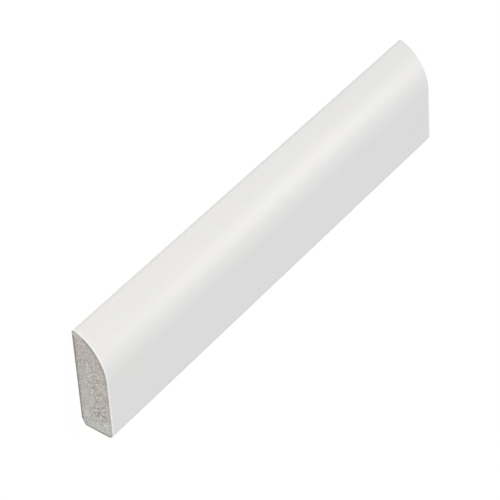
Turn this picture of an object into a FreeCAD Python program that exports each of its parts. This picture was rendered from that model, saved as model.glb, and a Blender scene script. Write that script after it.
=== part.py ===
import FreeCAD, Part
import math
import os

# A short length of white fillet moulding, lying on its flat back.
# Millimetres. X runs along the length, Y from the square edge across to the thin edge,
# and Z out of the front face. The origin is in the middle of the space it takes up, on the back face.

# Driving dimensions
length = 124.0              # from one square-cut end to the other
width = 25.0                # from the square edge to the thin edge
thickness = 7.7             # from the back face to the front face
crown_radius = 12.4         # the convex round that runs from the front face to the thin edge
thin_edge_land = 0.9        # the flat left on the thin edge, measured from the back face
relief_angle = 8.0          # degrees that the square edge leans in towards the back
front_arris_radius = 1.1    # round between the front face and the square edge
back_arris_radius = 0.45    # round between the back face and the thin edge
chamfer_depth = 0.9         # relief between the square edge and the back face, out from the back
chamfer_height = 1.7        # the same relief, measured across the width

# The crown leaves the front face at a tangent and stops at the edge of the land
crown_start = math.asin(1.0 - (thickness - thin_edge_land) / crown_radius)
crown_height = crown_radius * math.cos(crown_start)

# The square edge touches the front arris round and leans in from there
relief = math.radians(relief_angle)
edge_front_y = front_arris_radius * (1.0 - math.cos(relief))
edge_front_z = thickness - front_arris_radius * (1.0 + math.sin(relief))
edge_back_y = edge_front_y + (edge_front_z - chamfer_depth) * math.tan(relief)


def point(across, out):
    """A point of the section: across from the square edge, and out from the back face."""
    return FreeCAD.Vector(-length / 2.0, across - width / 2.0, out)


def line(start, end):
    return Part.LineSegment(point(*start), point(*end)).toShape()


def arc(centre, radius, start_angle, end_angle):
    """An arc of the section, its angles in radians from across towards out."""
    through = []
    for angle in (start_angle, (start_angle + end_angle) / 2.0, end_angle):
        across = centre[0] + radius * math.cos(angle)
        out = centre[1] + radius * math.sin(angle)
        through.append(point(across, out))
    return Part.Arc(*through).toShape()


def section():
    """The closed outline that the moulding is extruded with, as a face at the -X end."""
    quarter = math.pi / 2.0
    back_chamfer_end = (edge_back_y + chamfer_height, 0.0)
    back_end = (width - back_arris_radius, 0.0)
    land_start = (width, back_arris_radius)
    land_end = (width, thin_edge_land)
    front_top = (width - crown_height, thickness)
    front_bottom = (front_arris_radius, thickness)
    edge_front = (edge_front_y, edge_front_z)
    edge_back = (edge_back_y, chamfer_depth)
    edges = [
        line(back_chamfer_end, back_end),
        arc((back_end[0], back_arris_radius), back_arris_radius, -quarter, 0.0),
        line(land_start, land_end),
        arc((front_top[0], thickness - crown_radius), crown_radius, crown_start, quarter),
        line(front_top, front_bottom),
        arc((front_bottom[0], thickness - front_arris_radius), front_arris_radius,
            quarter, math.pi + relief),
        line(edge_front, edge_back),
        line(edge_back, back_chamfer_end),
    ]
    return Part.Face(Part.Wire(edges))


def fillet_moulding():
    """One piece of extruded stock, cut square at both ends."""
    return section().extrude(FreeCAD.Vector(length, 0, 0))


os.makedirs("parts", exist_ok=True)
fillet_moulding().exportStep("parts/fillet_moulding.step")
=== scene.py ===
import math

import bmesh
import bpy
from mathutils import Matrix, Quaternion, Vector, noise


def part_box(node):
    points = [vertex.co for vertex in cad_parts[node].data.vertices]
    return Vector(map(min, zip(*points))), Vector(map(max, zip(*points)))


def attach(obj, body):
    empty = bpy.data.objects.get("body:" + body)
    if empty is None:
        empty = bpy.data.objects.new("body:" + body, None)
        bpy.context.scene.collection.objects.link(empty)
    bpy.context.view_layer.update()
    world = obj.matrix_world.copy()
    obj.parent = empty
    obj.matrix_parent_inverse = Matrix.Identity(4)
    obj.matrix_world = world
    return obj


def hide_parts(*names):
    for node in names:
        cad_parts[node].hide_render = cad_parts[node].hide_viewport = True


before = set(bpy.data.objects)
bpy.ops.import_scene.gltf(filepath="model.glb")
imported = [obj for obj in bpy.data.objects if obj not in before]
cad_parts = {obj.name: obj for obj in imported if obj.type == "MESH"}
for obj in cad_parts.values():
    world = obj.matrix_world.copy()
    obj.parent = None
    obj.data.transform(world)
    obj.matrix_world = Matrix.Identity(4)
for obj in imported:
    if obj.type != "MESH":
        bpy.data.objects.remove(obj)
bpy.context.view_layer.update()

# A short length of white cellular fillet moulding, lying on its flat back.
# It is modelled in millimetres and brought down to metres when its shape is finished.
# X runs along the length, Y from the square edge to the thin edge, Z out of the front face.
MM = 0.001

low, high = (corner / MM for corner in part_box("fillet_moulding"))
width = high.y - low.y
thickness = high.z - low.z
quarter_turn = math.pi / 2

# The section, as the solid has it
crown_radius = 12.4
thin_edge_land = 0.9
relief = math.radians(8.0)
front_arris_radius = 1.1
back_arris_radius = 0.45
chamfer_depth = 0.9
chamfer_height = 1.7
crown_start = math.asin(1.0 - (thickness - thin_edge_land) / crown_radius)
crown_height = crown_radius * math.cos(crown_start)
edge_front_across = front_arris_radius * (1.0 - math.cos(relief))
edge_front_out = thickness - front_arris_radius * (1.0 + math.sin(relief))
edge_back_across = edge_front_across + (edge_front_out - chamfer_depth) * math.tan(relief)

# The mesh of the cut ends
outline_step = 0.1                  # from one vertex of the outline to the next
outline_merge = outline_step / 4    # two vertices of the outline that are nearer than this are one
ring_merge = 0.6 * outline_step     # the same in the rings inside it, which the rounds crowd
skin_thickness = 0.2                # solid plastic round the foam
cut_arris = 0.08                    # round on the edge of each cut end
arris_rings = 3                     # rings of faces in that round
cell_grid = 0.085                   # faces of the cut foam, across

# The relief of the cut foam
foam_recess = 0.05                  # the foam lies this far below the skin's cut edge
skin_margin = 0.3                   # the foam's cells have their full depth this far inside the skin
coarse_cell = 0.46                  # cells that the saw tore open
coarse_depth = 0.36
coarse_contrast = 2.6               # steepness of a cell's walls
patch_scale = 1.4                   # the patches that such cells come in, in waves to a millimetre
patch_edge = (-0.05, 0.2)           # the noise, from -1 to 1, over which a patch begins
fine_cell = 0.26                    # cells that it cut clean
fine_depth = 0.07
fine_contrast = 1.6

# What tells the finishes of the faces apart
back_slant = -0.2                   # the back and the chamfer look further down than this
end_reach = 1.0                     # the faces of a cut end have their middles nearer than this to it
crease_angle = math.radians(30)

# The finishes' colours, as shares of linear light
warm_white = (0.868, 0.866, 0.852, 1)
cool_white = (0.856, 0.858, 0.862, 1)
# The next colour is a painted highlight for the rim of the near cut end
painted_rim_highlight = (0.96, 0.957, 0.945, 1)
back_white = (0.82, 0.82, 0.81, 1)
scuffed_white = (0.86, 0.858, 0.848, 1)
grey_foam = (0.562, 0.573, 0.555, 1)
beige_foam = (0.534, 0.494, 0.478, 1)
light_wall = (0.85, 0.83, 0.81, 1)
cell_shadow = (0.325, 0.305, 0.29, 1)
pit_shadow = (0.26, 0.24, 0.225, 1)
# The next colour is partly pale torn cell wall and partly a painted highlight on the cell walls
flake_and_wall_highlight = (0.95, 0.94, 0.93, 1)
outer_grey = (0.60, 0.60, 0.585, 1)
solid_tip = (0.8, 0.8, 0.79, 1)
cut_skin = (0.93, 0.928, 0.92, 1)
skin_ior = 1.53
foam_ior = 1.5

# The light, as the level that a matt white face turned towards it takes on
key_level = 0.493
gloss_level = 0.265
fill_level = 0.495
ground_glow = 1.08                  # just past white, so that the ground shows as white all over


def deselect_everything():
    bpy.ops.object.select_all(action="DESELECT")


def apply_place():
    """Brings the chosen object to the origin, unturned and unscaled, with its place in its mesh."""
    bpy.ops.object.transform_apply(location=True, rotation=True, scale=True)


def ramp(value, start, stop):
    """A smooth rise from 0 at start to 1 at stop, or a fall where start is the larger."""
    share = min(1.0, max(0.0, (value - start) / (stop - start)))
    return share * share * (3.0 - 2.0 * share)


def section_place(across, out):
    """A place of the section where the round of the near cut end begins."""
    return Vector((low.x + cut_arris, low.y + across, low.z + out))


class Value:
    """A socket of a finish's nodes, which sums are written with."""

    def __init__(self, finish, socket):
        self.finish = finish
        self.socket = socket

    def sum(self, operation, *terms):
        return self.finish.add("ShaderNodeMath", {"operation": operation}, dict(enumerate(terms)))

    def __add__(self, other):
        return self.sum("ADD", self, other)

    def __radd__(self, other):
        return self.sum("ADD", other, self)

    def __sub__(self, other):
        return self.sum("SUBTRACT", self, other)

    def __rsub__(self, other):
        return self.sum("SUBTRACT", other, self)

    def __mul__(self, other):
        return self.sum("MULTIPLY", self, other)

    def __rmul__(self, other):
        return self.sum("MULTIPLY", other, self)

    def __pow__(self, other):
        return self.sum("POWER", self, other)

    def __abs__(self):
        return self.sum("ABSOLUTE", self)

    def rise(self, start, stop):
        """What ramp gives for a number."""
        return self.finish.add("ShaderNodeMapRange", {"interpolation_type": "SMOOTHSTEP"},
                               {"Value": self, "From Min": start, "From Max": stop})


# The next five functions take numbers, for the mesh, or a finish's values, for its pattern
def larger(first, second):
    return first.sum("MAXIMUM", first, second) if isinstance(first, Value) else max(first, second)


def smaller(first, second):
    return first.sum("MINIMUM", first, second) if isinstance(first, Value) else min(first, second)


def front_depth(across, out):
    """How far a place of the section lies below the front, the crown and the thin edge."""
    beside_crown = larger(across - (width - crown_height), 0)
    above_crown = out - (thickness - crown_radius)
    below_crown = crown_radius - (beside_crown ** 2 + above_crown ** 2) ** 0.5
    beside_arris = larger(front_arris_radius - across, 0)
    above_arris = larger(out - (thickness - front_arris_radius), 0)
    below_arris = front_arris_radius - (beside_arris ** 2 + above_arris ** 2) ** 0.5
    return smaller(smaller(below_crown, below_arris), width - across)


def edge_depth(across, out):
    """How far a place of the section lies inside the square edge and the chamfer."""
    slant = math.hypot(chamfer_height, chamfer_depth)
    from_corner, above_corner = across - edge_back_across, out - chamfer_depth
    from_edge = from_corner * math.cos(relief) + above_corner * math.sin(relief)
    from_chamfer = from_corner * (chamfer_depth / slant) + above_corner * (chamfer_height / slant)
    return smaller(from_edge, from_chamfer)


def torn_share(across, out, rise):
    """Where the saw tore the coarse cells open: a band along the middle, worst near the square edge."""
    band_middle = 4.9 - 0.06 * across
    in_band = rise(abs(out - band_middle), 2.7, 0.8)
    along_band = rise(across, 1.4, 2.8) * rise(across, 20.0, 17.0)
    eased = 1 - 0.4 * rise(across, 5.5, 7.5)
    return in_band * along_band * eased


def outline_depth(place):
    """How far a vertex of a cut end lies inside the section's outline."""
    across, out = place.y - low.y, place.z - low.z
    return min(front_depth(across, out), edge_depth(across, out), out)


class Outline:
    """Draws the section's outline in edit mode, one vertex after another."""

    def __init__(self, name, across, out):
        deselect_everything()
        self.end = section_place(across, out)
        bpy.ops.mesh.primitive_plane_add(size=1, location=self.end)
        self.piece = bpy.context.object
        self.piece.name = name
        self.piece.data.name = name
        apply_place()
        bpy.ops.object.mode_set(mode="EDIT")
        bpy.ops.mesh.merge(type="CENTER")

    def line(self, across, out):
        target = section_place(across, out)
        way = target - self.end
        steps = max(1, round(way.length / outline_step))
        for _ in range(steps):
            bpy.ops.mesh.extrude_region_move(TRANSFORM_OT_translate={"value": way / steps})
        self.end = target

    def arc(self, across, out, radius, start, stop):
        """An arc round a centre, its angles from across towards out."""
        turn = stop - start
        steps = max(2, round(radius * turn / outline_step))
        centre = section_place(across, out)
        bpy.ops.mesh.spin(steps=steps, angle=turn, center=centre, axis=(-1, 0, 0))
        self.end = centre + Vector((0, math.cos(stop), math.sin(stop))) * radius

    def close(self):
        bpy.ops.mesh.select_all(action="SELECT")
        bpy.ops.mesh.remove_doubles(threshold=outline_merge)
        bpy.ops.mesh.edge_face_add()


def draw_section():
    """The cut end as one flat face, its outline the section's."""
    outline = Outline("moulding", edge_back_across + chamfer_height, 0)
    outline.line(width - back_arris_radius, 0)
    outline.arc(width - back_arris_radius, back_arris_radius, back_arris_radius, -quarter_turn, 0)
    outline.line(width, thin_edge_land)
    outline.arc(width - crown_height, thickness - crown_radius, crown_radius,
                crown_start, quarter_turn)
    outline.line(front_arris_radius, thickness)
    outline.arc(front_arris_radius, thickness - front_arris_radius, front_arris_radius,
                quarter_turn, math.pi + relief)
    outline.line(edge_back_across, chamfer_depth)
    outline.line(edge_back_across + chamfer_height, 0)
    outline.close()
    return outline.piece


def select(piece, kind, wanted):
    """Selects, in edit mode, the faces or the edges that the test wants."""
    bpy.ops.mesh.select_mode(type=kind)
    bpy.ops.mesh.select_all(action="DESELECT")
    mesh = bmesh.from_edit_mesh(piece.data)
    parts = mesh.faces if kind == "FACE" else mesh.edges
    for part in parts:
        if not part.hide and wanted(part):
            part.select_set(True)
    bmesh.update_edit_mesh(piece.data)


def draw_in(inward, proud):
    """One more ring of faces inside the outline, its inner side further out of the cut end."""
    bpy.ops.mesh.inset(thickness=inward, depth=0)
    bpy.ops.transform.translate(value=(-proud, 0, 0))
    bpy.ops.mesh.remove_doubles(threshold=ring_merge)


def draw_skin_edge():
    """Rings of faces for the skin's cut edge: the round, then a flat, with nothing inside them."""
    bpy.ops.mesh.select_mode(type="FACE")
    bpy.ops.mesh.select_all(action="SELECT")
    for step in range(arris_rings):
        start = quarter_turn * step / arris_rings
        stop = quarter_turn * (step + 1) / arris_rings
        inward = cut_arris * (math.cos(start) - math.cos(stop))
        proud = cut_arris * (math.sin(stop) - math.sin(start))
        draw_in(inward, proud)
    draw_in(skin_thickness - cut_arris, 0)
    bpy.ops.mesh.delete(type="ONLY_FACE")


def add_foam_grid(piece):
    """A fine grid over the cut end, as far as the rings leave room."""
    middle = section_place(width / 2, thickness / 2) - Vector((cut_arris, 0, 0))
    bpy.ops.mesh.primitive_grid_add(
        x_subdivisions=round(thickness / cell_grid), y_subdivisions=round(width / cell_grid),
        size=1, location=middle, rotation=(0, -quarter_turn, 0))
    bpy.ops.transform.resize(value=(1, width, thickness), center_override=middle)
    least_depth = skin_thickness + cell_grid / 2
    select(piece, "FACE", lambda face: any(outline_depth(v.co) < least_depth for v in face.verts))
    bpy.ops.mesh.delete(type="FACE")


def close_gap(piece):
    """Triangles between the grid and the rings."""
    def beside_gap(edge):
        middle = (edge.verts[0].co + edge.verts[1].co) / 2
        return edge.is_boundary and outline_depth(middle) > skin_thickness / 2

    select(piece, "EDGE", beside_gap)
    bpy.ops.mesh.fill(use_beauty=True)


def cut_end_sheet():
    """The near cut end: rings for the skin's edge, and a fine grid for the foam."""
    piece = draw_section()
    draw_skin_edge()

    # The rings are hidden while the grid is cut to fit in them
    bpy.ops.mesh.select_all(action="SELECT")
    bpy.ops.mesh.hide()
    add_foam_grid(piece)
    bpy.ops.mesh.reveal(select=False)
    close_gap(piece)
    return piece


def extruded_blank():
    """The cut end's sheet drawn out to its mirror image at the far end."""
    piece = cut_end_sheet()
    bpy.ops.mesh.select_all(action="SELECT")
    bpy.ops.mesh.extrude_region_move(TRANSFORM_OT_translate={"value": (0, 0, 0)})
    bpy.ops.transform.resize(value=(-1, 1, 1), center_override=(0, 0, 0))
    bpy.ops.mesh.select_all(action="SELECT")
    bpy.ops.mesh.normals_make_consistent(inside=False)
    return piece


def sink_foam(piece, inward):
    """Sets the foam of one cut end a little below the hard skin, as the saw leaves it."""
    least_depth = skin_thickness - cell_grid / 2

    def is_foam(face):
        faces_out = face.normal.x * inward < -0.9
        return faces_out and all(outline_depth(v.co) > least_depth for v in face.verts)

    select(piece, "FACE", is_foam)
    bpy.ops.transform.translate(value=(inward * foam_recess, 0, 0))


def fine_weight(place):
    """The share of their depth that fine cells have: none by the skin's cut edge."""
    return ramp(outline_depth(place), skin_thickness, skin_thickness + skin_margin)


def coarse_weight(place):
    """The share that coarse cells have: only in the torn band, and there in patches."""
    patch = ramp(noise.noise(place * patch_scale), *patch_edge)
    return fine_weight(place) * patch * torn_share(place.y - low.y, place.z - low.z, ramp)


def cell_texture(name, size, contrast):
    texture = bpy.data.textures.new(name, "VORONOI")
    texture.noise_scale = size
    texture.distance_metric = "DISTANCE"
    texture.contrast = contrast
    texture.use_clamp = True
    return texture


def tear_cells(piece, inward, texture, depth, weight_at):
    """Pits of a texture in one cut end, never above the cut, as deep as the weight at each vertex."""
    group = piece.vertex_groups.new(name=texture.name)
    for vertex in piece.data.vertices:
        weight = weight_at(vertex.co) if vertex.co.x * inward < 0 else 0
        if weight > 0:
            group.add([vertex.index], weight, "REPLACE")
    tear = piece.modifiers.new(texture.name, "DISPLACE")
    tear.texture = texture
    tear.texture_coords = "LOCAL"
    tear.vertex_group = group.name
    tear.direction = "X"
    tear.mid_level = 1.0
    tear.strength = -inward * depth
    bpy.ops.object.modifier_apply(modifier=tear.name)
    piece.vertex_groups.clear()


def moulding():
    """The piece with its cut ends torn by the saw."""
    piece = extruded_blank()
    for inward in (1, -1):
        sink_foam(piece, inward)
    bpy.ops.object.mode_set(mode="OBJECT")

    coarse = cell_texture("coarse_cells", coarse_cell, coarse_contrast)
    fine = cell_texture("fine_cells", fine_cell, fine_contrast)
    for inward in (1, -1):
        tear_cells(piece, inward, coarse, coarse_depth, coarse_weight)
        tear_cells(piece, inward, fine, fine_depth, fine_weight)
    return piece


class Finish:
    """The nodes of a material, or of the world."""

    # A Mix node's sockets for colours, by their numbers
    mix_share = 0
    mix_first = 6
    mix_second = 7
    mix_result = 2

    def __init__(self, owner):
        owner.use_nodes = True
        self.owner = owner
        self.nodes = owner.node_tree.nodes
        self.links = owner.node_tree.links
        self.nodes.clear()

    def add(self, kind, settings, inputs, output=0):
        """A node with its settings, then the values or links of its sockets."""
        node = self.nodes.new(kind)
        for name, setting in settings.items():
            setattr(node, name, setting)
        for name, value in inputs.items():
            if isinstance(value, Value):
                self.links.new(value.socket, node.inputs[name])
            else:
                node.inputs[name].default_value = value
        if node.outputs:
            return Value(self, node.outputs[output])

    def place(self, per_mm=(1, 1, 1)):
        """Object coordinates in millimetres, stretched where a pattern runs along an axis."""
        coordinates = self.add("ShaderNodeTexCoord", {}, {}, "Object")
        return self.add("ShaderNodeMapping", {}, {
            "Vector": coordinates, "Scale": [share / MM for share in per_mm]})

    def axes(self):
        """The three numbers of a place, in millimetres."""
        split = self.add("ShaderNodeSeparateXYZ", {}, {"Vector": self.place()})
        return [Value(self, socket) for socket in split.socket.node.outputs]

    def noise(self, place, scale, detail=2.0, roughness=0.5):
        """Noise from 0 to 1, its scale in waves to a millimetre."""
        return self.add("ShaderNodeTexNoise", {}, {
            "Vector": place, "Scale": scale, "Detail": detail, "Roughness": roughness})

    def cells(self, place, scale):
        """How far a place is from the middle of its cell, and the cell's colour, taken as a grey."""
        distance = self.add("ShaderNodeTexVoronoi", {}, {"Vector": place, "Scale": scale}, "Distance")
        return distance, Value(self, distance.socket.node.outputs["Color"])

    def mix(self, share, first, second, blend="MIX"):
        """Two colours mixed, or blended in another way, all first where the share is 0."""
        return self.add("ShaderNodeMix", {"data_type": "RGBA", "blend_type": blend}, {
            self.mix_share: share, self.mix_first: first, self.mix_second: second}, self.mix_result)

    def mix_shaders(self, share, first, second):
        """Two shaders mixed in the same way."""
        return self.add("ShaderNodeMixShader", {}, {0: share, 1: first, 2: second})

    def bump(self, height, depth, after=None):
        """A bump whose full height is a depth in millimetres."""
        inputs = {"Height": height, "Distance": depth * MM}
        if after:
            inputs["Normal"] = after
        return self.add("ShaderNodeBump", {}, inputs)

    def surface(self, colour, roughness, normal, ior):
        """Ends the nodes with the finish's shader, and returns its material."""
        shader = self.add("ShaderNodeBsdfPrincipled", {}, {
            "Base Color": colour, "Roughness": roughness, "Normal": normal, "IOR": ior})
        self.add("ShaderNodeOutputMaterial", {}, {"Surface": shader})
        return self.owner


def white_skin():
    """The satin white skin, with the faint lines that the die draws along it."""
    finish = Finish(bpy.data.materials.new("white_skin"))
    place = finish.place()
    along = finish.place((0.012, 1, 1))
    drift = finish.noise(place, scale=0.09, detail=1.0)
    blotches = finish.noise(place, scale=0.35)
    orange_peel = finish.noise(place, scale=1.1)
    die_lines = finish.noise(along, scale=2.0, detail=4.0, roughness=0.7)
    colour = finish.mix(drift, warm_white, cool_white)

    # Painted highlight: the skin is whitened along the near cut end, where its rounded arris catches
    # the light
    from_cut = finish.axes()[0] - low.x - 0.12 * finish.noise(place, scale=1.5)
    colour = finish.mix(from_cut.rise(0.6, 0.3), colour, painted_rim_highlight)

    roughness = 0.34 + 0.05 * blotches + 0.07 * die_lines
    lines = finish.bump(die_lines, depth=0.007)
    normal = finish.bump(orange_peel, depth=0.008, after=lines)
    return finish.surface(colour, roughness, normal, skin_ior)


def plain_back():
    """The back, which the sizing rollers leave plainer and more matt."""
    finish = Finish(bpy.data.materials.new("plain_back"))
    along = finish.place((0.01, 1, 1))
    roller_lines = finish.noise(along, scale=1.6, detail=4.0, roughness=0.65)
    scuffs = finish.noise(finish.place(), scale=0.5, detail=4.0, roughness=0.6)
    colour = finish.mix(scuffs, back_white, scuffed_white)
    roughness = 0.5 + 0.12 * scuffs
    normal = finish.bump(roller_lines, depth=0.008)
    return finish.surface(colour, roughness, normal, skin_ior)


def on_crown(across):
    """0 on the flat of the front, and 1 well down the crown."""
    return across.rise(10.0, 20.0)


def outer_darkening(across, out, below_front, ragged):
    """How much darker the foam is round the outside, most by the back and the square edge."""
    wander = 0.5 * (ragged - 0.5)
    by_tip = across.rise(width - 2.5, width - 1.0)
    by_back = (out + wander).rise(0.65, 0.25)
    by_edge = (edge_depth(across, out) + wander).rise(0.6, 0.2)
    front_strength = (0.25 + 0.4 * on_crown(across)) * (1 - 0.3 * by_tip)
    by_front = front_strength * (below_front + wander).rise(0.95, 0.4)
    return larger(larger(by_back, by_edge), by_front)


def skin_share(across, below_front, ragged):
    """The skin's cut edge, which thins out round the square edge and along the crown."""
    at_square_edge = across.rise(0.9, 0.1)
    skin_here = (0.04 + 0.12 * ragged - 0.08 * on_crown(across)) * (1 - at_square_edge)
    return (below_front - skin_here).rise(0.04, -0.04)


def sawn_end():
    """The cut end: a thin edge of white skin round a beige foam of fine open cells."""
    finish = Finish(bpy.data.materials.new("sawn_end"))
    place = finish.place()
    x, y, z = finish.axes()
    across, out = y - low.y, z - low.z
    below_front = front_depth(across, out)
    below_cut = high.x - abs(x) - foam_recess
    torn = torn_share(across, out, Value.rise)
    grain = finish.noise(place, scale=2.2, detail=4.0, roughness=0.75)
    ragged = finish.noise(place, scale=2.2, detail=3.0)

    # The foam is warmer towards the front, and greyer at the foot of the back
    off_back = larger(out.rise(1.5, 5.0), across.rise(12.0, 20.0))
    warmth = across.rise(2.0, 6.5) * (0.4 + 0.6 * off_back)
    foam = finish.mix(warmth, grey_foam, beige_foam)

    # Fine open cells, each a little lighter or darker, more so where they are torn
    _, cell_tone = finish.cells(place, scale=3.1)
    tone = 0.55 * grain + 0.45 * cell_tone
    light_cell = tone.rise(0.5, 0.64) * (0.33 + 0.16 * torn)
    dark_cell = tone.rise(0.5, 0.36) * (0.32 + 0.16 * torn)
    foam = finish.mix(light_cell, foam, light_wall)
    foam = finish.mix(dark_cell, foam, cell_shadow)

    # Torn cells: painted shade in the pits, and here and there a pale flake of torn wall, which is
    # partly a painted highlight on the cell walls
    foam = finish.mix(0.75 * below_cut.rise(0.13, 0.26), foam, pit_shadow)
    from_flake, chance = finish.cells(place, scale=2.4)
    flake_and_highlight = from_flake.rise(0.32, 0.18) * chance.rise(0.52, 0.58) * torn.rise(0.15, 0.6)
    foam = finish.mix(0.75 * flake_and_highlight, foam, flake_and_wall_highlight)

    # The foam is darker round the outside, and the tip is solid plastic, which is paler
    darker_outside = outer_darkening(across, out, below_front, ragged)
    foam = finish.mix(darker_outside, foam, outer_grey, blend="MULTIPLY")
    at_tip = across.rise(width - 1.5, width - 0.9)
    foam = finish.mix(0.4 * at_tip, foam, solid_tip)

    skin = skin_share(across, below_front, ragged)
    colour = finish.mix(skin, foam, cut_skin)
    roughness = 0.85 - 0.3 * skin
    streaks = finish.noise(finish.place((1, 0.15, 2.5)), scale=1.5)
    height = (grain + 0.4 * streaks) * (1 - 0.8 * skin)
    normal = finish.bump(height, depth=0.03)
    return finish.surface(colour, roughness, normal, foam_ior)


def dress(piece):
    """Gives each face the finish of its place."""
    def on_back(face):
        return face.normal.z < back_slant and face.calc_center_median().y < high.y - back_arris_radius

    def on_cut_end(face):
        return abs(face.calc_center_median().x) > high.x - end_reach

    for finish in (white_skin(), plain_back(), sawn_end()):
        piece.data.materials.append(finish)
    bpy.ops.object.mode_set(mode="EDIT")
    for slot, wanted in ((1, on_back), (2, on_cut_end)):
        select(piece, "FACE", wanted)
        piece.active_material_index = slot
        bpy.ops.object.material_slot_assign()
    bpy.ops.object.mode_set(mode="OBJECT")
    bpy.ops.object.shade_smooth_by_angle(angle=crease_angle)


def to_metres(piece):
    piece.scale = (MM, MM, MM)
    apply_place()


def camera():
    """The photograph's viewpoint."""
    data = bpy.data.cameras.new("camera")
    data.lens = 193.182
    data.sensor_width = 36.0
    view = bpy.data.objects.new("camera", data)
    bpy.context.collection.objects.link(view)
    azimuth = math.radians(-132.154)
    elevation = math.radians(28.623)
    roll = math.radians(109.443)
    distance = 576.49 * MM
    aim = Vector((-4.268, -3.754, 2.668)) * MM
    forward = Vector((
        -math.sin(azimuth) * math.cos(elevation),
        math.cos(azimuth) * math.cos(elevation),
        -math.sin(elevation)))
    view.location = aim - distance * forward
    view.rotation_mode = "QUATERNION"
    view.rotation_quaternion = forward.to_track_quat("-Z", "Y") @ Quaternion((0, 0, 1), roll)
    bpy.context.scene.camera = view


def lamp(name, direction, distance, size, level, colour):
    """A soft box that looks at the piece from a direction, its first side square to the width.

    A matt white face turned towards it is lit to its level. Its distance and size are in metres.
    """
    data = bpy.data.lights.new(name, "AREA")
    data.shape = "RECTANGLE"
    data.size, data.size_y = size
    data.energy = level * math.pi ** 2 * distance ** 2
    data.color = colour
    box = bpy.data.objects.new(name, data)
    bpy.context.collection.objects.link(box)
    towards = Vector(direction).normalized()
    side = Vector((0, 1, 0)).cross(towards).normalized()
    up = towards.cross(side)
    turn = Matrix((side, up, towards)).transposed()
    box.matrix_world = Matrix.Translation(towards * distance) @ turn.to_4x4()
    box.visible_camera = False
    return box


def soft_boxes():
    """One past the near cut end, on the crown's side, and one past the far cut end.

    The gloss of the second runs along the crown.
    """
    key = lamp("key", direction=(-0.73, 0.575, 0.37), distance=2.0, size=(1.2, 1.2),
               level=key_level, colour=(1.0, 0.954, 0.83))
    key.visible_glossy = False
    lamp("gloss", direction=(0.651, 0.146, 0.745), distance=1.2, size=(0.9, 0.42),
         level=gloss_level, colour=(1.0, 0.97, 0.90))


def seen_directly(finish):
    """1 for what the camera sees, and what gloss and clear things show of it."""
    path = finish.add("ShaderNodeLightPath", {}, {})
    outputs = path.socket.node.outputs
    camera_ray, glossy, clear = (Value(finish, outputs[name]) for name in (
        "Is Camera Ray", "Is Glossy Ray", "Is Transmission Ray"))
    return larger(larger(camera_ray, glossy), clear)


def even_fill():
    """A faintly blue light from all round, which shows as white."""
    finish = Finish(bpy.data.worlds.new("studio"))
    bpy.context.scene.world = finish.owner
    fill = finish.add("ShaderNodeBackground", {}, {
        "Color": (0.897, 0.923, 1.0, 1), "Strength": fill_level})
    white = finish.add("ShaderNodeBackground", {}, {"Color": (1, 1, 1, 1), "Strength": 1.0})
    shown = finish.mix_shaders(seen_directly(finish), fill, white)
    finish.add("ShaderNodeOutputWorld", {}, {"Surface": shown})


def white_ground():
    """A white ground. It glows a little less by the piece, so that a faint shadow stays."""
    deselect_everything()
    bpy.ops.mesh.primitive_circle_add(vertices=96, radius=2.0, fill_type="NGON")
    floor = bpy.context.object
    floor.name = "floor"
    finish = Finish(bpy.data.materials.new("floor"))
    x, y, _ = finish.axes()
    from_piece = (x ** 2 + y ** 2) ** 0.5
    matt = finish.add("ShaderNodeBsdfDiffuse", {}, {"Color": (0.82, 0.82, 0.82, 1)})
    glow = finish.add("ShaderNodeEmission", {}, {"Color": (1, 1, 1, 1), "Strength": ground_glow})
    glow_here = 0.85 + 0.15 * from_piece.rise(120, 400)
    shown = finish.mix_shaders(seen_directly(finish) * glow_here, matt, glow)
    finish.add("ShaderNodeOutputMaterial", {}, {"Surface": shown})
    floor.data.materials.append(finish.owner)


piece = moulding()
dress(piece)
to_metres(piece)
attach(piece, "root")
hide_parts("fillet_moulding")
soft_boxes()
even_fill()
white_ground()
camera()
bpy.context.scene.view_settings.view_transform = "Standard"
